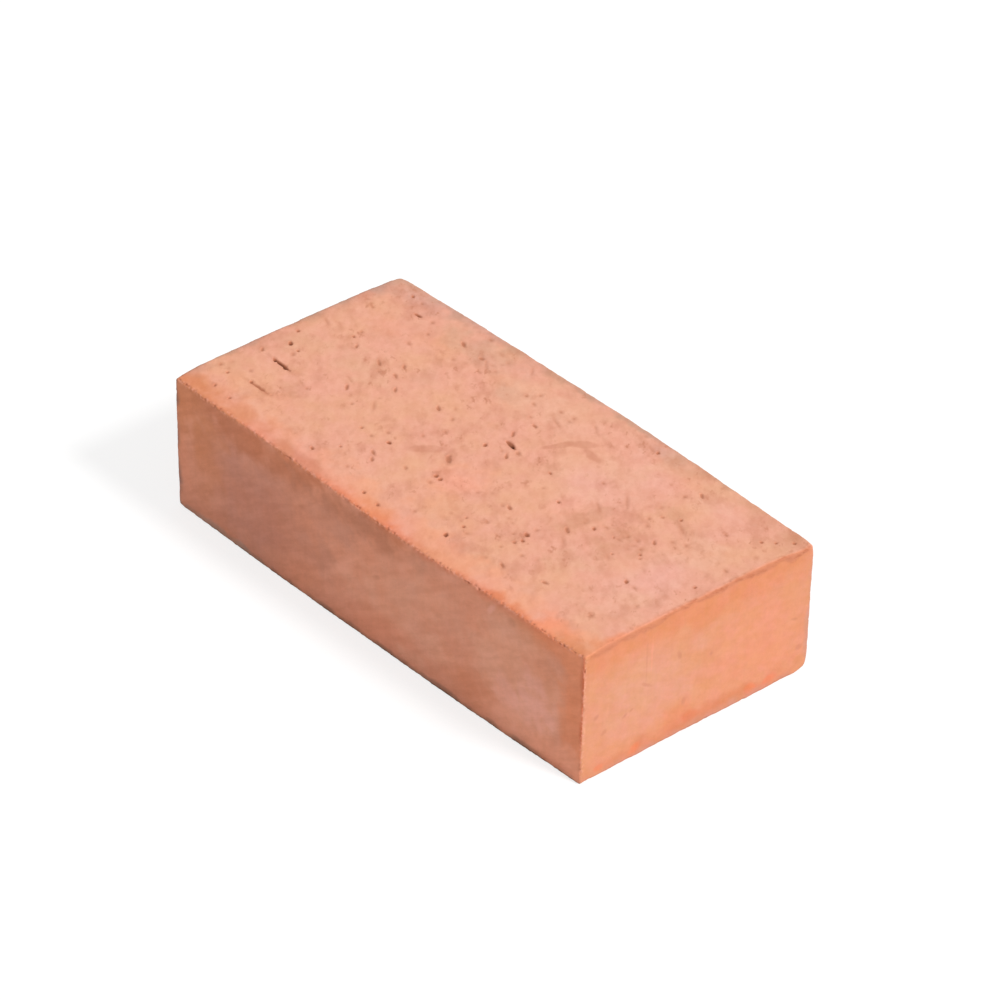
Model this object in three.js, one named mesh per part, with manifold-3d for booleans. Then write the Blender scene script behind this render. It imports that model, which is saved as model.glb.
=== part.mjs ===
// Solid wire-cut clay brick.
//
// A column of stiff clay is pushed through a rectangular die and a taut wire cuts it into
// bricks. The four upright faces keep the smooth skin of the die, and three of them swell a
// little between their arrises. The two beds are cut faces: flat, with pits and slots where
// the wire tore grains out and dragged them along, and with a lip of clay hanging over the
// header at which the wire came out. That header leans in towards its foot, and the back
// corners sank a little as the clay dried. Hands have worn dips along the front of the upper
// bed, and handling and firing have blunted the arrises and corners unevenly.
//
// Millimetres. X runs along the brick, Y across it and Z up; the wire travelled towards +X.
// The origin is the middle of the lower bed.

import * as THREE from 'three';
import { mergeVertices } from 'three/addons/utils/BufferGeometryUtils.js';
import Module from 'manifold-3d';

// Size of the fired brick, over the middle of its faces and over the lip.
const length = 250;
const width = 120;
const height = 62;

// The clay column: how far three of the upright faces swell between their arrises, and the
// radius of the column's corners, which the die left crisp at the front of the exit header.
const frontSwell = 1.3;
const backSwell = 1.0;
const entrySwell = 0.6;
const dieCornerRadius = 1.8;
const crispCornerRadius = 0.9;

// How far the foot of the exit header stands in from its top.
const exitLean = 1.8;

// Rounding of the arrises between the beds and the upright faces. The wire leaves them crisp
// and wear rounds them.
const frontUpperArris = 1.6;
const backUpperArris = 1.8;
const entryUpperArris = 1.8;
const exitUpperArris = 0.9;
const frontLowerArris = 0.5;
const backLowerArris = 1.8;
const entryLowerArris = 1.8;
const exitLowerArris = 1.8;

// Uneven wear: how far the arrises waver and in how many waves round the brick, and how far a
// blunted corner reaches along them.
const arrisWaver = 0.3;
const arrisWaves = 22;
const cornerWearReach = 14;

// Dips worn in the upper bed along its front: how deep each is and how far it spreads along
// the bed, and how far all of them reach across it.
const middleDipDepth = 2.7;
const middleDipSpread = 55;
const entryDipDepth = 0.9;
const entryDipSpread = 35;
const exitDipDepth = 1.6;
const exitDipSpread = 30;
const wornReach = 14;

// Where the upper bed sank at its back corners: how deep and how far along the bed at each, and
// how far across it at both.
const exitSinkDepth = 2.2;
const exitSinkLength = 110;
const entrySinkDepth = 0.5;
const entrySinkLength = 80;
const sunkReach = 30;

// Lip of dragged clay over the exit header: how far it stands out, the height of its face at
// the front and at the back, the share of that by which its lower edge wanders and in how many
// waves, how steeply it is undercut, and how abruptly it ends short of the header's corners.
const lipProjection = 0.45;
const lipFaceFront = 0.3;
const lipFaceBack = 1.0;
const lipWander = 0.5;
const lipWaves = 36;
const lipUndercut = 0.4;
const lipEndSharpness = 6;

// Facets that each form is made with. An odd count leaves a true flat in the middle of a face.
const stretcherFacets = 21;
const headerFacets = 19;
const cornerFacets = 5;
const arrisFacets = 4;
const pitFacets = 12;

// Pits torn in the upper bed. along and across place the middle of each as a share of the
// bed's half length and half width. Sizes are in millimetres, and turn is in degrees from the
// path of the wire.
const pits = [
  { name: 'long slot', along: -0.81, across: -0.36, length: 11.5, width: 1.6, depth: 1.5, turn: -6 },
  { name: 'thin slot', along: -0.77, across: -0.65, length: 12.5, width: 1.3, depth: 0.9, turn: -2 },
  { name: 'middle tear', along: 0.02, across: 0.18, length: 10.0, width: 2.2, depth: 1.4, turn: -12 },
  { name: 'end pock', along: -0.89, across: -0.15, length: 3.6, width: 1.6, depth: 1.3, turn: -38 },
  { name: 'back pock', along: -0.76, across: 0.74, length: 4.8, width: 1.4, depth: 0.9, turn: 0 },
  { name: 'middle pock', along: -0.05, across: 0.06, length: 2.6, width: 1.8, depth: 0.9, turn: -20 },
  { name: 'slanted tear', along: -0.06, across: -0.23, length: 7.0, width: 2.4, depth: 0.7, turn: -41 },
  { name: 'front pock', along: -0.01, across: -0.41, length: 4.3, width: 1.6, depth: 1.1, turn: -6 },
  { name: 'left pock', along: -0.25, across: -0.4, length: 2.6, width: 1.7, depth: 1.0, turn: -14 },
  { name: 'right pock', along: 0.41, across: -0.4, length: 3.2, width: 1.8, depth: 1.1, turn: -22 },
  { name: 'arris pock', along: 0.25, across: -0.79, length: 2.5, width: 1.9, depth: 1.1, turn: -32 },
  { name: 'exit pock', along: 0.8, across: -0.26, length: 3.8, width: 1.4, depth: 0.8, turn: -19 },
];

// The four upright faces, counterclockwise from the header at +X. corner is the radius of the
// column's corner that follows a face, and cornerWear blunts that corner's two ends.
const faces = [
  {
    name: 'exit header',
    turn: 0,
    distance: length / 2 - lipProjection,
    swell: 0,
    facets: headerFacets,
    corner: dieCornerRadius,
    lip: lipProjection,
    upper: { arris: exitUpperArris, cornerWear: 1.4 },
    lower: { arris: exitLowerArris, cornerWear: 2.0 },
  },
  {
    name: 'back stretcher',
    turn: 90,
    distance: width / 2,
    swell: backSwell,
    facets: stretcherFacets,
    corner: dieCornerRadius,
    lip: 0,
    upper: { arris: backUpperArris, cornerWear: 1.2 },
    lower: { arris: backLowerArris, cornerWear: 1.0 },
  },
  {
    name: 'entry header',
    turn: 180,
    distance: length / 2,
    swell: entrySwell,
    facets: headerFacets,
    corner: dieCornerRadius,
    lip: 0,
    upper: { arris: entryUpperArris, cornerWear: 0.5 },
    lower: { arris: entryLowerArris, cornerWear: 0.3 },
  },
  {
    name: 'front stretcher',
    turn: 270,
    distance: width / 2,
    swell: frontSwell,
    facets: stretcherFacets,
    corner: crispCornerRadius,
    lip: 0,
    upper: { arris: frontUpperArris, cornerWear: 0.3 },
    lower: { arris: frontLowerArris, cornerWear: 0.3 },
  },
];

// The dips along the front of the upper bed; along places the middle of each as a share of the
// bed's half length.
const wornDips = [
  { along: -0.88, depth: entryDipDepth, spread: entryDipSpread },
  { along: 0.16, depth: middleDipDepth, spread: middleDipSpread },
  { along: 0.88, depth: exitDipDepth, spread: exitDipSpread },
];

// The two back corners of the upper bed, by the end of the brick that they are at.
const sunkCorners = [
  { end: 1, depth: exitSinkDepth, along: exitSinkLength },
  { end: -1, depth: entrySinkDepth, along: entrySinkLength },
];

// An irregular wave between -1 and 1 for edges that no tool has kept straight: a main wave and
// a quicker, weaker one. share runs from 0 to 1 round the brick, where the wave closes.
const swings = [{ strength: 0.6, extraTurns: 0 }, { strength: 0.4, extraTurns: 9 }];

function wander(share, turns) {
  const heights = swings.map(({ strength, extraTurns }) => (
    strength * Math.sin(2 * Math.PI * (turns + extraTurns) * share)
  ));
  return heights.reduce((sum, value) => sum + value);
}

// 1 at no distance, falling smoothly to 0 at reach.
function fade(distance, reach) {
  return 1 - THREE.MathUtils.smoothstep(distance, 0, reach);
}

// How far the upper bed lies below its level at a place, worn or sunk.
function bedDrop(x, y) {
  const worn = wornDips.map(({ along, depth, spread }) => (
    depth * Math.exp(-(((x - (along * length) / 2) / spread) ** 2)) * fade(y + width / 2, wornReach)
  ));
  const sunk = sunkCorners.map(({ end, depth, along }) => (
    depth * fade(length / 2 - end * x, along) * fade(width / 2 - y, sunkReach)
  ));
  return [...worn, ...sunk].reduce((sum, value) => sum + value);
}

// Where a point of the freshly cut brick lies once it has dried and worn. The exit header
// leans in, and the clay below a worn or sunk place goes down with it.
function settled(point) {
  const rise = point.z / height;
  const towardsExit = point.x / length + 1 / 2;
  return new THREE.Vector3(
    point.x - exitLean * (1 - rise) * towardsExit,
    point.y,
    point.z - rise * bedDrop(point.x, point.y),
  );
}

// Blunting that a worn corner adds to an arris: all of it at the corner, none past its reach.
function bluntness(wear, distanceFromCorner) {
  const nearness = Math.max(0, 1 - distanceFromCorner / cornerWearReach);
  return wear * nearness * nearness;
}

function direction(degrees) {
  const angle = THREE.MathUtils.degToRad(degrees);
  return new THREE.Vector2(Math.cos(angle), Math.sin(angle));
}

// The outline that one level of the brick has from above, as spots face by face and corner by
// corner. edge names the arris that the level belongs to, turnedIn says how much of that
// arris's rounding it stands back by, and inset how far inside the bed's edge it runs.
function outline({ edge, turnedIn, inset }) {
  const reach = (face) => face.distance - face.swell - turnedIn * face[edge].arris - inset;
  const corner = (face) => face.corner + 2 * turnedIn * face[edge].cornerWear;
  return faces.flatMap((face, index) => {
    const before = faces.at(index - 1);
    const after = faces[(index + 1) % faces.length];
    const outward = direction(face.turn);
    const sideways = direction(face.turn + 90);
    const start = corner(before) - reach(before);
    const end = reach(after) - corner(face);
    const travelled = (steps) => (index + steps / (face.facets + cornerFacets)) / faces.length;
    const spots = [];
    for (let step = 0; step <= face.facets; step++) {
      const share = (2 * step) / face.facets - 1;
      const along = THREE.MathUtils.lerp(start, end, step / face.facets);
      const away = reach(face) + face.swell * (1 - share * share);
      const fromStart = bluntness(before[edge].cornerWear, along - start);
      const fromEnd = bluntness(face[edge].cornerWear, end - along);
      spots.push({
        place: outward.clone().multiplyScalar(away).addScaledVector(sideways, along),
        outward,
        arris: face[edge].arris,
        wear: fromStart + fromEnd,
        lip: face.lip * (1 - Math.abs(share) ** lipEndSharpness),
        travelled: travelled(step),
      });
    }
    const centre = outward.clone().multiplyScalar(reach(face) - corner(face));
    centre.addScaledVector(sideways, end);
    for (let step = 1; step < cornerFacets; step++) {
      const share = step / cornerFacets;
      const normal = direction(face.turn + 90 * share);
      spots.push({
        place: centre.clone().addScaledVector(normal, corner(face)),
        outward: normal,
        arris: THREE.MathUtils.lerp(face[edge].arris, after[edge].arris, share),
        wear: face[edge].cornerWear,
        lip: 0,
        travelled: travelled(face.facets + step),
      });
    }
    return spots;
  });
}

// Height of the lip's face at a spot of the outline.
function lipFace(spot) {
  const towardsBack = spot.place.y / width + 1 / 2;
  const straight = THREE.MathUtils.lerp(lipFaceFront, lipFaceBack, towardsBack);
  return straight * (1 + lipWander * wander(spot.travelled, lipWaves));
}

// One level of the brick as a ring of points. rise says how far down its arris the level lies
// (0 at the bed, 1 at the upright face), lip how much of the lip it carries, below how much of
// the lip's face lies above it, and undercut how far it runs under the lip.
function levelRing(level) {
  const { edge, turnedIn, rise, lip, below, undercut } = level;
  return outline(level).map((spot) => {
    const waver = arrisWaver * wander(spot.travelled, arrisWaves);
    const outset = lip * spot.lip * (1 - turnedIn) - turnedIn * (spot.wear + waver);
    const place = spot.place.clone().addScaledVector(spot.outward, outset);
    const depth = rise * (spot.arris + spot.wear + waver) + below * lipFace(spot) + undercut;
    return settled(new THREE.Vector3(place.x, place.y, edge === 'lower' ? depth : height - depth));
  });
}

// The levels of the brick from the lower bed to the middle of the upper one.
function profileLevels() {
  const plain = { edge: 'upper', turnedIn: 0, inset: 0, rise: 1, lip: 0, below: 0, undercut: 0 };
  const arris = (edge, lip, step) => {
    const angle = (step / arrisFacets) * (Math.PI / 2);
    return { ...plain, edge, lip, turnedIn: 1 - Math.sin(angle), rise: 1 - Math.cos(angle) };
  };
  const steps = Array.from({ length: arrisFacets + 1 }, (_, step) => step);
  const insets = [wornReach / 4, wornReach / 2, wornReach, sunkReach];
  return [
    ...steps.map((step) => arris('lower', 0, step)),
    { ...plain, below: 1, undercut: lipUndercut },
    { ...plain, below: 1, lip: 1 },
    ...steps.reverse().map((step) => arris('upper', 1, step)),
    ...insets.map((inset) => ({ ...arris('upper', 0, 0), inset })),
  ];
}

// Walls between the rings, closed by the flat of each bed.
function uncutBrick() {
  const rings = profileLevels().map(levelRing);
  const count = rings[0].length;
  const indices = [];
  for (let level = 0; level + 1 < rings.length; level++) {
    for (let i = 0; i < count; i++) {
      const near = level * count + i;
      const far = level * count + (i + 1) % count;
      indices.push(near, far, far + count, near, far + count, near + count);
    }
  }
  const last = (rings.length - 1) * count;
  const flat = (ring) => ring.map((point) => new THREE.Vector2(point.x, point.y));
  THREE.ShapeUtils.triangulateShape(flat(rings[0]), [])
    .forEach(([a, b, c]) => indices.push(a, c, b));
  THREE.ShapeUtils.triangulateShape(flat(rings.at(-1)), [])
    .forEach(([a, b, c]) => indices.push(last + a, last + b, last + c));
  const geometry = new THREE.BufferGeometry().setFromPoints(rings.flat());
  geometry.setIndex(indices);
  return geometry;
}

// The hollow that one torn grain leaves: a stretched ball, half sunk in the upper bed.
function pitHollow(pit) {
  const x = (pit.along * length) / 2;
  const y = (pit.across * width) / 2;
  const geometry = new THREE.SphereGeometry(1, pitFacets, pitFacets / 2);
  geometry.rotateX(Math.PI / 2);
  geometry.scale(pit.length / 2, pit.width / 2, pit.depth);
  geometry.rotateZ(THREE.MathUtils.degToRad(pit.turn));
  geometry.translate(x, y, height - bedDrop(x, y));
  return geometry;
}

const wasm = await Module();
wasm.setup();

function solidFrom(geometry) {
  const bare = geometry.clone();
  bare.deleteAttribute('normal');
  bare.deleteAttribute('uv');
  const merged = mergeVertices(bare);
  return new wasm.Manifold(new wasm.Mesh({
    numProp: 3,
    vertProperties: merged.attributes.position.array,
    triVerts: new Uint32Array(merged.index.array),
  }));
}

function geometryFrom(solid) {
  const mesh = solid.getMesh();
  const geometry = new THREE.BufferGeometry();
  geometry.setAttribute('position', new THREE.BufferAttribute(mesh.vertProperties, 3));
  geometry.setIndex(new THREE.BufferAttribute(mesh.triVerts, 1));
  geometry.computeVertexNormals();
  return geometry;
}

const pitted = pits.reduce(
  (solid, pit) => solid.subtract(solidFrom(pitHollow(pit))),
  solidFrom(uncutBrick()),
);

const firedClay = new THREE.MeshStandardMaterial({ color: '#dc976f', roughness: 0.92, metalness: 0 });
const brickBody = new THREE.Mesh(geometryFrom(pitted), firedClay);
brickBody.name = 'brick_body';

const brick = new THREE.Group();
brick.add(brickBody);

export default brick;
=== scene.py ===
import itertools
import math

import bpy
import numpy as np
from mathutils import Matrix, Vector


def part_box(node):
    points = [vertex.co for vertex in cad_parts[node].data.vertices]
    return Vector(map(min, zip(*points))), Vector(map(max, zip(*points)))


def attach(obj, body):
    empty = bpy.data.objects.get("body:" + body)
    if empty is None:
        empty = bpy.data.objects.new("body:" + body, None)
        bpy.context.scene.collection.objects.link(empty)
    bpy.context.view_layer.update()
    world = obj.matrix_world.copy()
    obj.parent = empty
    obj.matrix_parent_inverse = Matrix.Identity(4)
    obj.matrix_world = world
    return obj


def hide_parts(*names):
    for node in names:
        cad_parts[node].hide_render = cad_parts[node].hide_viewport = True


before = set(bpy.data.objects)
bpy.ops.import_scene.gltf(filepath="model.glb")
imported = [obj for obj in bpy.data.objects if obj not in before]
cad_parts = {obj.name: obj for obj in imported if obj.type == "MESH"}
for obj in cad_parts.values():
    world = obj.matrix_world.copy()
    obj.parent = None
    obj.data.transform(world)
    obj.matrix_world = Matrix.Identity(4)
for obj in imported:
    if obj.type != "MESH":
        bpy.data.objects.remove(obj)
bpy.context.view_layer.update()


# ---------------------------------------------------------------------------------------------
# Camera. A long lens well back from the brick, looking down on the corner between its front
# stretcher and the header where the cutting wire came out.

CAMERA_AIM = Vector((-0.00037, 0.00659, 0.0377))
CAMERA_DISTANCE = 2.368
CAMERA_AZIMUTH = math.radians(49.29)
CAMERA_ELEVATION = math.radians(34.52)
CAMERA_ROLL = math.radians(0.32)
LENS_MM = 216.0
SENSOR_MM = 36.0
FARTHEST_SEEN = 50.0


def camera_place(aim, distance, azimuth, elevation, roll):
    """World matrix of a camera that looks at aim; azimuth 0 looks along +Y."""
    back = Vector((math.sin(azimuth) * math.cos(elevation),
                   -math.cos(azimuth) * math.cos(elevation),
                   math.sin(elevation)))
    turn = back.to_track_quat("Z", "Y").to_matrix().to_4x4()
    return Matrix.Translation(aim + distance * back) @ turn @ Matrix.Rotation(roll, 4, "Z")


camera = bpy.data.objects.new("camera", bpy.data.cameras.new("camera"))
camera.data.lens = LENS_MM
camera.data.sensor_width = SENSOR_MM
camera.data.clip_end = FARTHEST_SEEN
camera.matrix_world = camera_place(CAMERA_AIM, CAMERA_DISTANCE, CAMERA_AZIMUTH, CAMERA_ELEVATION,
                                   CAMERA_ROLL)
bpy.context.scene.collection.objects.link(camera)
bpy.context.scene.camera = camera


# ---------------------------------------------------------------------------------------------
# The brick. One piece of clay, pushed through a die and cut off by a taut wire, then fired.
# The upright faces have the smooth skin of the die. The beds are torn by the wire, which ran
# from the entry header to the exit header and left a lip of clay hanging over the latter.

MM = 0.001
low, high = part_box("brick_body")
LENGTH, WIDTH, HEIGHT = (high - low) / MM
HALF_LENGTH, HALF_WIDTH = LENGTH / 2, WIDTH / 2

# Swelling of three upright faces between their ends, and how far the exit header leans in
# towards its foot, in mm.
SWELL_FRONT, SWELL_BACK, SWELL_ENTRY = 1.3, 1.0, 0.6
EXIT_LEAN = 1.8

# Rounding of the twelve arrises, in mm. An arris is named by the two faces that meet there:
# which side of each axis it lies on, or None along the axis.
ARRISES = {
    "front upper": ((None, -1, 1), 1.5),
    "back upper": ((None, 1, 1), 1.8),
    "entry upper": ((-1, None, 1), 1.8),
    "exit upper": ((1, None, 1), 0.9),
    "front lower": ((None, -1, -1), 0.5),
    "back lower": ((None, 1, -1), 1.8),
    "entry lower": ((-1, None, -1), 1.8),
    "exit lower": ((1, None, -1), 1.8),
    "front exit upright": ((1, -1, None), 0.9),
    "back exit upright": ((1, 1, None), 1.8),
    "front entry upright": ((-1, -1, None), 1.6),
    "back entry upright": ((-1, 1, None), 2.0),
}
CRISP_ARRISES = ["front upper", "exit upper", "front exit upright"]
# Arrises with scuffs of lighter clay and painted highlight.
HIGHLIT_SCUFFED_ARRISES = ["front upper", "front exit upright"]
# Corners that knocks have blunted: side of each axis, extra rounding and reach in mm.
KNOCKED_CORNERS = [((1, 1, -1), 2.0, 9.0), ((-1, -1, 1), 0.5, 6.0), ((-1, 1, 1), 1.2, 7.0),
                   ((1, 1, 1), 1.4, 6.0), ((1, -1, -1), 0.3, 6.0), ((-1, -1, -1), 0.3, 7.0)]

# Dips that hands have worn in the upper bed along its front arris: middle x, depth and spread
# along the arris, and how far all of them reach across the bed, in mm.
WORN_DIPS = [(-110, 0.9, 35), (20, 2.7, 55), (110, 1.6, 30)]
WORN_WIDTH = 14.0
# Where the back corners of the upper bed sank as the clay dried: end of the brick, depth and
# reach along it, and how far both reach across the bed, in mm.
SUNK_CORNERS = [(1, 2.2, 110), (-1, 0.5, 80)]
SUNK_WIDTH = 30.0

# How far from an arris handling bites into the clay and scuffs it, and the depth at which a bite
# has the full colour of broken clay with painted shade, in mm. Scuffs carry painted highlight.
CHIPPED_REACH, HIGHLIT_SCUFF_REACH, FULLY_BITTEN = 2.4, 2.2, 0.4
# Where the front upper arris crumbled most: middle x and spread along it, in mm, and how far
# the crumbling reaches to either side of it.
CRUMBLED = [(-119, 4), (-99, 5), (-48, 5), (-8, 5), (16, 4), (42, 5), (62, 6), (79, 6), (103, 9),
            (118, 6)]
CRUMBLED_REACH = 1.7

# The lip that the wire dragged over the exit header: how far it stands out, the height of its
# face at the front and at the back, how much its lower edge wanders and how softly that ends,
# how far in over the bed it starts, and how far from the header's corners it dies out, in mm.
LIP_PROJECTION, LIP_FRONT, LIP_BACK = 0.15, 0.6, 1.6
LIP_WANDER, LIP_SOFTNESS = 2.6, 2.4
LIP_START, LIP_ENDS = 2.2, 5.0
# The crease under the lip, a band coloured with painted shade and darker torn clay: how far its
# middle lies below the lip's edge, and how far it reaches to either side, in mm.
CREASE_DROP, CREASE_REACH = 0.2, 1.9

# Relief of the clay in mm: drag lines of the wire on the beds, unevenness of every face, and
# grains along the arrises, coarser along the front upper one. Grains reach this far from them.
DRAG_LINES, UNEVENNESS, ARRIS_GRAINS, FRONT_GRAINS = 0.05, 0.12, 0.16, 0.28
GRAINY_REACH = 2.5
# How far the tallest grain may stand above the level of the upper bed, in mm.
TALLEST_GRAIN = 0.4

# Pits that the wire tore deep in the upper bed: middle x and y, length, width and depth in mm,
# and turn in degrees from the path of the wire. Some are torn in two or three bites.
TORN_PITS = [
    (-103, -21.5, 13.5, 1.6, 1.05, -4), (-99.5, -22, 3, 1.8, 1.3, 0),
    (-107, -21.5, 3, 1.7, 1.1, -20),
    (-96, -39, 12.5, 1.5, 0.55, 0), (-101, -39, 2.2, 1.5, 0.65, -30),
    (0.5, 11.5, 7.5, 2.1, 0.85, -14), (1.5, 11.5, 4, 1.7, 1.2, -20), (6.5, 10, 4, 2.4, 0.35, -35),
    (-2.5, -24.5, 2.7, 2.2, 0.75, -41), (0.5, -25, 2.3, 1.9, 0.6, -41),
    (-112.5, -9, 3.6, 1.9, 1.0, -38), (-96, 44.5, 4.8, 1.5, 0.8, 0), (-6.5, 4, 2.6, 2.0, 0.7, -35),
    (-8, -13.5, 6.6, 2.4, 0.4, -41), (-32, -24, 2.6, 1.8, 0.8, -14), (51, -24, 3.2, 1.9, 0.8, -22),
    (30.5, -47.5, 2.5, 2.0, 0.8, -32), (99, -15.5, 3.4, 2.0, 0.6, -35),
]
# Lesser marks that the wire left there. Each kind has its usual length, width and depth in mm,
# and the places of the marks on the bed.
LESSER_MARKS = {
    "plucked": ((2.0, 1.4, 0.55), [
        (-108.5, 52.5), (-100, 14), (-106.5, -10), (-118, -0.5), (-112.5, -42), (-109, -51.5),
        (-98, -52.5), (-49, -49.5), (-13, -52.5), (-3.5, -53.5), (31, -39), (25, 10.5), (42, 0),
        (53, -28), (64.5, -1.5), (82, 28), (89, 0.5), (118.5, 2), (112, 43), (115.5, 47.5),
        (119.5, 53.5), (41, 52.5)]),
    "nicked": ((4.0, 1.6, 0.42), [
        (-67.5, 44.5), (-94, 10.5), (-78.5, 9.5), (-70, 15.5), (-67, 8.5), (-59.5, 2),
        (-73.5, -11.5), (-116.5, -20.5), (-38, 6.5), (-31, -33), (-27.5, -36.5), (-5, 17), (5, 5),
        (-4, 27.5), (32.5, -17), (58.5, -10), (60, -44.5), (74, 46), (86.5, 10)]),
    "dimpled": ((2.6, 1.7, 0.30), [
        (-88, 45.5), (-82.5, 38.5), (-82, 28), (-112.5, 34.5), (-102, 52), (-63, 55), (-61.5, 34),
        (-48, 36), (-101, 19), (-74, 5.5), (-63, -17.5), (-83, -24.5), (-107.5, -34),
        (-119, -40.5), (-19, 43.5), (-22.5, 39), (-16, 37.5), (-5, 42), (-10, 30.5), (-28.5, 6),
        (-23.5, -2), (-27, -10.5), (-38, -19.5), (-40.5, -26), (-30, -47), (10.5, -46.5),
        (34.5, -30), (43.5, 22), (47, -27.5), (51, -19), (50.5, -37), (60, -34.5), (70.5, 40),
        (73, 19.5), (77, 5), (81.5, 6), (100.5, 35), (104, -16), (106.5, -40.5), (113.5, -23.5),
        (118, 18.5)]),
    "scraped": ((8.0, 1.4, 0.24), [
        (-50, 41.5), (-116, 13), (-77, -7), (-56, -12), (-88, -23.5), (-34, 52), (0, 35.5),
        (12.5, 45), (37, 52.5), (54, 10), (59.5, 20), (63, -16), (87, 24)]),
}

# Where the clay was gritty and the wire tore more small pits: middle and spread in mm, and how
# many.
GRITTY_CLAY = [((77, 3), (9, 10), 26), ((47, -32), (6, 8), 10), ((27, -31), (8, 9), 10),
               ((-84, -28), (7, 6), 10), ((-52, 44), (9, 6), 8), ((84, 24), (8, 5), 8)]
# A small pit's least width and depth, and how much more the largest have, in mm. Pits are
# strewn over this share of the bed.
SMALL_PIT_WIDTH, SMALL_PIT_DEPTH = (1.3, 1.0), (0.08, 0.30)
STREWN_SHARE = 0.96
# The rim of a pit: how ragged it is, as a share of the pit's reach, and over how many mm; how
# high it is pushed up, as a share of the pit's depth, where, and how far to either side.
RIM_RAGGEDNESS, RIM_LUMPS = 0.30, 1.2
RIM_HEIGHT, RIM_PLACE, RIM_SPREAD = 0.10, 1.15, 0.3
# The smudge round a pit: strength that even the shallowest has, and where it starts to fade,
# as a share of the pit's reach.
LEAST_STAIN, STAIN_START = 0.35, 0.6
# A pit deeper than this, in mm, needs the finest facets.
DEEP_PIT = 0.3

# The mesh is built on a lattice of cells. A cell this long, in mm, is halved up to this many
# times, until its sides are no longer than the facets that the clay needs there.
COARSEST_CELL = 5.2
HALVINGS = 4
# Length of the facets in mm: on the die's skin, on the upper bed, along the arrises and in
# shallow pits, and along the crisp arrises, under the lip and in deep pits.
SKIN_FACET, BED_FACET, ARRIS_FACET, FINEST_FACET = 2.6, 1.3, 0.65, 0.33
# How far from a crisp arris and from the lip the finest facets reach, in mm, and how many
# times longer than wanted a facet may stay.
CRISP_REACH, LIP_FACETS_REACH = 1.5, 4.0
FACET_SLACK = 1.2


def soft_noise(points, size, seed):
    """Smooth random values between -1 and 1 that change over about size mm."""
    repeat = 32
    table = np.random.default_rng(seed).uniform(-1.0, 1.0, (repeat, repeat, repeat))
    place = points / np.asarray(size, float)
    corner = np.floor(place).astype(int)
    share = place - corner
    share = share * share * (3.0 - 2.0 * share)
    total = np.zeros(len(points))
    for step in itertools.product((0, 1), repeat=3):
        weight = np.prod(np.where(step, share, 1.0 - share), axis=1)
        x, y, z = ((corner + step) % repeat).T
        total += weight * table[x, y, z]
    return total


def rough_noise(points, size, seed, octaves=3):
    """soft_noise with finer and weaker noise added, each octave half the size of the last."""
    total = np.zeros(len(points))
    for octave in range(octaves):
        finer = 2.0 ** octave
        total += soft_noise(points, size / finer, seed + octave) / finer
    return total / (2.0 - 0.5 ** (octaves - 1))


def fade(distance, reach):
    """1 at no distance, falling smoothly to 0 at reach."""
    share = np.clip(1.0 - distance / reach, 0.0, 1.0)
    return share * share * (3.0 - 2.0 * share)


def axis_gaps(points):
    """How far each point lies from the two faces across each axis: gaps[side][:, axis]."""
    below = points - np.array([-HALF_LENGTH, -HALF_WIDTH, 0.0])
    above = np.array([HALF_LENGTH, HALF_WIDTH, HEIGHT]) - points
    return {-1: below, 1: above}


def distance_to(points, sides):
    """Distance to the arris or corner that lies on the given side of each axis."""
    gaps = axis_gaps(points)
    return np.sqrt(sum(gaps[side][:, axis] ** 2 for axis, side in enumerate(sides) if side))


def arris_distance(points, names=ARRISES):
    """Distance to the nearest of the named arrises."""
    return np.min([distance_to(points, ARRISES[name][0]) for name in names], axis=0)


def scattered_pits(count, seed):
    """Small pits strewn over a bed, and more of them where the clay was gritty."""
    chance = np.random.default_rng(seed)

    def mostly_small(least, more):
        """A size from least up to more beyond it, and oftener near the least."""
        return least + more * chance.random() ** 2

    places = [chance.uniform(-STREWN_SHARE, STREWN_SHARE, 2) * (HALF_LENGTH, HALF_WIDTH)
              for _ in range(count)]
    for middle, spread, more in GRITTY_CLAY:
        places += [chance.normal(middle, spread) for _ in range(more)]
    pits = []
    for x, y in places:
        width = mostly_small(*SMALL_PIT_WIDTH)
        depth = mostly_small(*SMALL_PIT_DEPTH)
        length = width * chance.uniform(1.0, 2.0)
        turn = chance.uniform(-60, 20)
        pits.append((x, y, length, width, depth, turn))
    return pits


def lesser_pits(seed):
    """The lesser marks as pits, of uneven length and turned about as the wire dragged."""
    chance = np.random.default_rng(seed)
    return [(x, y, length * chance.uniform(0.8, 1.25), width, depth, chance.uniform(-50, -15))
            for (length, width, depth), places in LESSER_MARKS.values() for x, y in places]


# All pits of each bed. The lower bed has none that are torn deep, and half the lesser marks.
UPPER_PITS = TORN_PITS + lesser_pits(seed=9) + scattered_pits(36, seed=7)
LOWER_PITS = scattered_pits(44, seed=8)
LOWER_PITS += [(-x, y, *shape) for x, y, *shape in lesser_pits(seed=10)[::2]]


def pit_share(points, pit):
    """Where a point lies in a pit: 0 at its middle, 1 at its rim."""
    x, y, length, width, _, turn = pit
    angle = math.radians(turn)
    across = points[:, :2] - (x, y)
    along = across @ (math.cos(angle), math.sin(angle))
    aside = across @ (-math.sin(angle), math.cos(angle))
    return np.hypot(along / (length / 2), aside / (width / 2))


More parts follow.
